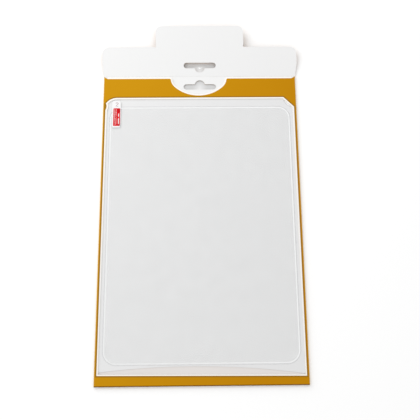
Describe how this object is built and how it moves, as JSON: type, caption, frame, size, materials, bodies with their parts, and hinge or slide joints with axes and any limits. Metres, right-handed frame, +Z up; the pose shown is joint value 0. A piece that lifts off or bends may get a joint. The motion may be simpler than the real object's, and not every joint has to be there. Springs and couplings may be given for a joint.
{
  "type": "tablet screen protector in an open hanging wallet",
  "caption": "Rectangular tablet glass protector with rounded corners, carded behind the window of a flat folded board wallet with a hinged top flap and hanging slots.",
  "frame": {"origin": "middle of the whole outline, wallet and opened flap together, on the surface that the wallet lies on", "axes": "+Y along the wallet from its bottom fold towards the flap, +Z up out of the front panel, +X to the right"},
  "size_m": [0.1914, 0.3448, 0.0082],
  "materials": {
    "printed_board": "satin",
    "white_board": "matte",
    "sheet_paper": "matte",
    "clear_film": "gloss",
    "pane_glass": "polished",
    "tab_white": "satin",
    "tab_red": "satin"
  },
  "bodies": {
    "wallet": {"wallet": "printed_board", "backing_sheet": "sheet_paper", "adhesive_liner": "clear_film", "glass_pane": "pane_glass", "cover_film": "clear_film", "pull_tab": "tab_white", "tab_label": "tab_red"},
    "flap": {"top_flap": "white_board"}
  },
  "joints": [
    {"name": "flap_crease", "type": "hinge", "parent": "wallet", "child": "flap", "pos_m": [0, 0.12108, 0.00075], "axis": [1, 0, 0], "range_deg": [-8, 92]}
  ]
}
